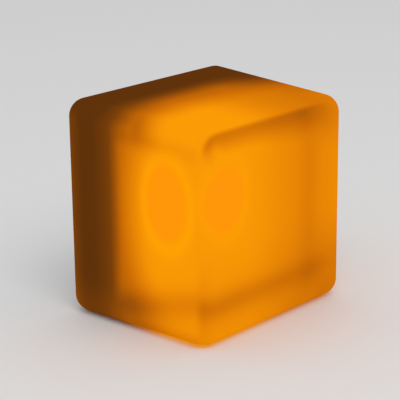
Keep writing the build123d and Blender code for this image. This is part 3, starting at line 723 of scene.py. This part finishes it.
def foam_pad(context):
    """The die-cut foam pad between tub and battery, a little crowned, with its corners pulled in."""
    low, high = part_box("battery_pad")
    middle = (low + high) / 2
    reach = (high - low) / 2
    across, along = PAD_GRID
    form = bmesh.new()
    sheets = []
    for side in (-1.0, 1.0):
        rows = []
        for i in range(across + 1):
            row = []
            for j in range(along + 1):
                a, b = 2 * i / across - 1, 2 * j / along - 1
                rim = max(abs(a), abs(b)) ** PAD_RIM_POWER
                crown = 1.0 - PAD_CROWN * rim
                sagged = 1.0 - PAD_SAG * (1 - rim)
                row.append(form.verts.new((middle.x + reach.x * a * (1 - PAD_PULL * b * b),
                                           middle.y + side * reach.y * crown * sagged,
                                           middle.z + reach.z * b * (1 - PAD_PULL * a * a))))
            rows.append(row)
        for i in range(across):
            for j in range(along):
                quad = (rows[i][j], rows[i + 1][j], rows[i + 1][j + 1], rows[i][j + 1])
                form.faces.new(quad if side > 0 else quad[::-1])
        sheets.append(rows)
    back, face = sheets
    ring = [(i, 0) for i in range(across)] + [(across, j) for j in range(along)]
    ring += [(i, along) for i in range(across, 0, -1)] + [(0, j) for j in range(along, 0, -1)]
    for (i, j), (k, m) in zip(ring, ring[1:] + ring[:1]):
        form.faces.new((back[i][j], back[k][m], face[k][m], face[i][j]))
    bmesh.ops.recalc_face_normals(form, faces=form.faces)
    mesh = bpy.data.meshes.new("battery_pad_foam")
    form.to_mesh(mesh)
    form.free()
    for polygon in mesh.polygons:
        polygon.use_smooth = True
    pad = bpy.data.objects.new("battery_pad_foam", mesh)
    context.scene.collection.objects.link(pad)
    return pad


class LAMP_OT_circuits(bpy.types.Operator):
    """Dresses the circuit boards, their parts and the wires"""
    bl_idname = "lamp.circuits"
    bl_label = "Circuit boards and wires"

    def execute(self, context):
        settings = context.scene.lamp_circuits
        green = moulded("Green Solder Mask", settings.board, 0.32, scale=4200.0, depth=0.00001,
                        painted=tracked(settings.track))
        for node in ("control_board", "battery_protection_board"):
            dress(node, green)
        dress("control_chips", moulded("Chip Epoxy", settings.chip, 0.5, scale=6500.0, depth=0.00001))
        nylon = moulded("Connector Nylon", settings.nylon, 0.44, scale=5200.0, drift=0.04)
        for node in ("board_headers", "wire_plugs"):
            dress(node, nylon)
        insulations = (settings.red_wire, settings.dark_wire, settings.green_wire, settings.blue_wire)
        dress("led_wires", moulded("Light Wires", settings.red_wire, 0.42, scale=7000.0, depth=0.000008,
                                   painted=sorted_wires(*insulations)))
        dress("battery_wires", moulded("Battery Wires", settings.red_wire, 0.42, scale=7000.0, depth=0.000008,
                                       painted=sorted_wires(*insulations[:2])))
        dress("remote_receiver", moulded("Dark Lens", settings.receiver, 0.16, scale=5000.0, depth=0.000004,
                                         coat=0.4))
        return {"FINISHED"}


class LAMP_OT_battery(bpy.types.Operator):
    """Dresses the battery's sleeve and makes its foam pad"""
    bl_idname = "lamp.battery"
    bl_label = "Battery sleeve and pad"

    def execute(self, context):
        settings = context.scene.lamp_circuits
        dress("battery_sleeve", moulded("Shrink Film", settings.sleeve, 0.26, scale=900.0, depth=0.00003,
                                        drift=0.08, coat=0.2))
        foam = moulded("Closed Cell Foam", settings.foam, 0.9, scale=2400.0, depth=0.0001, drift=0.25,
                       specular=0.2)
        dress("battery_pad", foam)
        pad = foam_pad(context)
        pad.data.materials.append(foam)
        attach(pad, "lamp")
        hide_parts("battery_pad")
        return {"FINISHED"}


# ---------------------------------------------------------------- Light board, reflector and dome

class LightSettings(bpy.types.PropertyGroup):
    package: colour("Package", "The lights' white bodies", 244, 240, 228)
    phosphor: colour("Phosphor", "The glowing middle of each light", 255, 176, 60)
    reflector: colour("Reflector", "The white plate round the lights", 247, 247, 246)
    dome: colour("Dome", "The frosted dome", 250, 228, 188)
    # painted light: the dome is no lamp; this is the glow of the lights under it
    painted_dome_glow: colour("Dome glow", "The dome's own light", 255, 168, 40)
    strength: number("Strength", "How bright the lights inside are", 1.2)


def lit_packages(settings):
    """White light packages with a round, glowing middle."""
    material, tree, shader = new_material("Light Package")
    x, y, z = surface_places(tree)
    up = z - RING_HEIGHT
    step = 2.0 * math.pi / LIGHT_COUNT
    bearing = x.math("ARCTAN2", up) * (1.0 / step) + 0.5
    sideways = (bearing.math("FRACT") - 0.5) * step * RING_RADIUS
    outward = distance(x, up) - RING_RADIUS
    middle = rise(distance(sideways, outward), 0.9, 1.3, 1.0, 0.0)
    grain = placed(tree, "Moulded Grain", Scale=8000.0)
    tree.links.new(mixed(tree, middle, settings.package, settings.phosphor), shader.inputs["Base Color"])
    tree.links.new(mixed(tree, middle, BLACK, settings.phosphor), shader.inputs["Emission Color"])
    shader.inputs["Emission Strength"].default_value = settings.strength
    toned_roughness(tree, shader, grain["Tone"], 0.35)
    raised(tree, shader, grain["Height"], 0.000005)
    return material


def lit_dome(settings):
    """The frosted dome with painted light: the glow of the lights under it, brightest over their ring."""
    material, tree, shader = new_material("Frosted Dome")
    x, y, z = surface_places(tree)
    ring = bell(distance(x, z - RING_HEIGHT), RING_RADIUS, 8.0)
    grain = placed(tree, "Moulded Grain", Scale=5600.0)
    frosted = mixed(tree, grain["Tone"], toned(settings.dome, 0.94), settings.dome)
    tree.links.new(frosted, shader.inputs["Base Color"])
    lit = mixed(tree, ring, toned(settings.painted_dome_glow, 0.25), settings.painted_dome_glow)
    tree.links.new(lit, shader.inputs["Emission Color"])
    shader.inputs["Emission Strength"].default_value = settings.strength
    toned_roughness(tree, shader, grain["Tone"], 0.55)
    raised(tree, shader, grain["Height"], 0.00001)
    return material


class LAMP_OT_lights(bpy.types.Operator):
    """Dresses the light board, its lights, the reflector and the dome"""
    bl_idname = "lamp.lights"
    bl_label = "Lights, reflector and dome"

    def execute(self, context):
        settings = context.scene.lamp_lights
        board = context.scene.lamp_circuits.white_board
        dress("led_board", moulded("White Solder Mask", board, 0.32, scale=4200.0, depth=0.00001,
                                   painted=tracked(toned(board, 0.86))))
        dress("reflector", moulded("Reflector White", settings.reflector, 0.3, scale=5200.0, depth=0.00001,
                                   drift=0.03))
        dress("led_packages", lit_packages(settings))
        dress("light_dome", lit_dome(settings))
        return {"FINISHED"}


# ---------------------------------------------------------------- Stage: floor, light and camera

class StageSettings(bpy.types.PropertyGroup):
    floor: colour("Floor", "The plain pale floor", 226, 226, 226)
    backdrop: colour("Backdrop", "What shows behind the floor's edge", 236, 236, 236)
    floor_radius: length("Floor radius", "How far the floor reaches", 4.0)
    ambient: number("Ambient", "The world's even light", 0.74)
    key_power: bpy.props.FloatProperty(name="Key light", description="The soft key light's power",
                                       unit="POWER", default=6.5)
    key_size: length("Key size", "The side of the soft key light", 0.9)
    azimuth: angle("Azimuth", "Where the camera stands round the lamp", -47.717)
    elevation: angle("Elevation", "How high the camera stands", 17.332)
    roll: angle("Roll", "How far the camera leans", -0.648)
    distance: length("Distance", "From the camera to the lamp", 0.68131)
    aside: length("Aside", "How far the camera stands to its right", -0.0031)
    above: length("Above", "How far the camera stands above its line", -0.0008)
    lens: bpy.props.FloatProperty(
        name="Lens", description="The camera's focal length, in millimetres on a 36 mm sensor",
        unit="CAMERA", default=133.714)


SENSOR_WIDTH = 36.0
NEAR_CLIP, FAR_CLIP = 0.01, 30.0
KEY_PLACE = (-0.55, -0.85, 1.15)


def lamp_middle():
    """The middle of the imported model's box."""
    low, high = cad_box
    return (low + high) / 2


def make_floor(settings):
    """A round, plain floor at the height that the lamp stands on."""
    form = bmesh.new()
    bmesh.ops.create_circle(form, cap_ends=True, segments=96, radius=settings.floor_radius)
    mesh = bpy.data.meshes.new("floor")
    form.to_mesh(mesh)
    form.free()
    floor = bpy.data.objects.new("floor", mesh)
    bpy.context.scene.collection.objects.link(floor)
    material, tree, shader = new_material("Pale Floor")
    drift = noise(tree, 6.0, detail=2.0)
    paint = mixed(tree, drift, toned(settings.floor, 0.985), settings.floor)
    tree.links.new(paint, shader.inputs["Base Color"])
    shader.inputs["Roughness"].default_value = 0.8
    shader.inputs["Specular IOR Level"].default_value = 0.1
    mesh.materials.append(material)


def make_world(settings):
    """Even white light all round. The camera, reflections and clear parts see the backdrop instead."""
    world = bpy.data.worlds.new("Soft Studio")
    bpy.context.scene.world = world
    world.use_nodes = True
    tree = world.node_tree
    even = tree.nodes["Background"]
    even.inputs["Color"].default_value = (1.0, 1.0, 1.0, 1.0)
    even.inputs["Strength"].default_value = settings.ambient
    seen = tree.nodes.new("ShaderNodeBackground")
    seen.inputs["Color"].default_value = (*settings.backdrop, 1.0)
    seen.inputs["Strength"].default_value = 1.0
    path = tree.nodes.new("ShaderNodeLightPath")
    direct = Field(tree, path.outputs["Is Camera Ray"])
    for kind in ("Is Glossy Ray", "Is Transmission Ray"):
        direct = most(direct, Field(tree, path.outputs[kind]))
    choice = tree.nodes.new("ShaderNodeMixShader")
    feed(tree, direct, choice.inputs["Fac"])
    tree.links.new(even.outputs[0], choice.inputs[1])
    tree.links.new(seen.outputs[0], choice.inputs[2])
    tree.links.new(choice.outputs[0], tree.nodes["World Output"].inputs["Surface"])


def make_key(settings):
    """The soft key light, which faces the lamp from the front left and above."""
    data = bpy.data.lights.new("key", "AREA")
    data.shape = "SQUARE"
    data.size = settings.key_size
    data.energy = settings.key_power
    key = bpy.data.objects.new("key", data)
    key.location = KEY_PLACE
    key.rotation_euler = (lamp_middle() - key.location).to_track_quat("-Z", "Y").to_euler()
    bpy.context.scene.collection.objects.link(key)


def make_camera(settings):
    """The camera, which looks at the lamp's middle from its place on a sphere, then is shifted and leant."""
    data = bpy.data.cameras.new("camera")
    data.lens = settings.lens
    data.sensor_width = SENSOR_WIDTH
    data.clip_start, data.clip_end = NEAR_CLIP, FAR_CLIP
    around, high, lean = settings.azimuth, settings.elevation, settings.roll
    back = Vector((math.sin(around) * math.cos(high), -math.cos(around) * math.cos(high), math.sin(high)))
    right = (-back).cross(Vector((0.0, 0.0, 1.0))).normalized()
    up = right.cross(-back)
    place = lamp_middle() + back * settings.distance + right * settings.aside + up * settings.above
    leant_right = right * math.cos(lean) + up * math.sin(lean)
    leant_up = up * math.cos(lean) - right * math.sin(lean)
    turned = Matrix((leant_right, leant_up, back)).transposed().to_4x4()
    camera = bpy.data.objects.new("camera", data)
    bpy.context.scene.collection.objects.link(camera)
    camera.matrix_world = Matrix.Translation(place) @ turned
    bpy.context.scene.camera = camera


class LAMP_OT_stage(bpy.types.Operator):
    """Makes the floor, the soft light and the camera"""
    bl_idname = "lamp.stage"
    bl_label = "Stage"

    def execute(self, context):
        settings = context.scene.lamp_stage
        make_floor(settings)
        make_world(settings)
        make_key(settings)
        make_camera(settings)
        context.scene.view_settings.view_transform = "Standard"
        return {"FINISHED"}


# ---------------------------------------------------------------- Panel and registration

OPERATORS = (LAMP_OT_shade, LAMP_OT_base, LAMP_OT_controls, LAMP_OT_metals, LAMP_OT_circuits, LAMP_OT_battery,
             LAMP_OT_lights, LAMP_OT_stage)
SETTINGS = (("lamp_shade", ShadeSettings), ("lamp_base", BaseSettings), ("lamp_metals", MetalSettings),
            ("lamp_circuits", CircuitSettings), ("lamp_lights", LightSettings), ("lamp_stage", StageSettings))


class LAMP_PT_panel(bpy.types.Panel):
    """Lists the lamp's pieces and their settings"""
    bl_idname = "LAMP_PT_panel"
    bl_label = "Cube Lamp"
    bl_space_type = "VIEW_3D"
    bl_region_type = "UI"
    bl_category = "Cube Lamp"

    def draw(self, context):
        for operator in OPERATORS:
            self.layout.operator(operator.bl_idname)
        for name, group in SETTINGS:
            box = self.layout.box()
            box.label(text=name.replace("lamp_", "").capitalize())
            for prop in group.__annotations__:
                box.prop(getattr(context.scene, name), prop)


def register():
    """Adds the settings, the operators and the panel to Blender."""
    for name, group in SETTINGS:
        bpy.utils.register_class(group)
        setattr(bpy.types.Scene, name, bpy.props.PointerProperty(type=group))
    for kind in (*OPERATORS, LAMP_PT_panel):
        bpy.utils.register_class(kind)


def unregister():
    """Takes them out again."""
    for kind in reversed((*OPERATORS, LAMP_PT_panel)):
        bpy.utils.unregister_class(kind)
    for name, group in reversed(SETTINGS):
        delattr(bpy.types.Scene, name)
        bpy.utils.unregister_class(group)


def main():
    """Adds the settings, dresses every piece and sets the stage."""
    register()
    bpy.ops.lamp.shade()
    bpy.ops.lamp.base()
    bpy.ops.lamp.controls()
    bpy.ops.lamp.metals()
    bpy.ops.lamp.circuits()
    bpy.ops.lamp.battery()
    bpy.ops.lamp.lights()
    bpy.ops.lamp.stage()


if __name__ == "__main__":
    main()
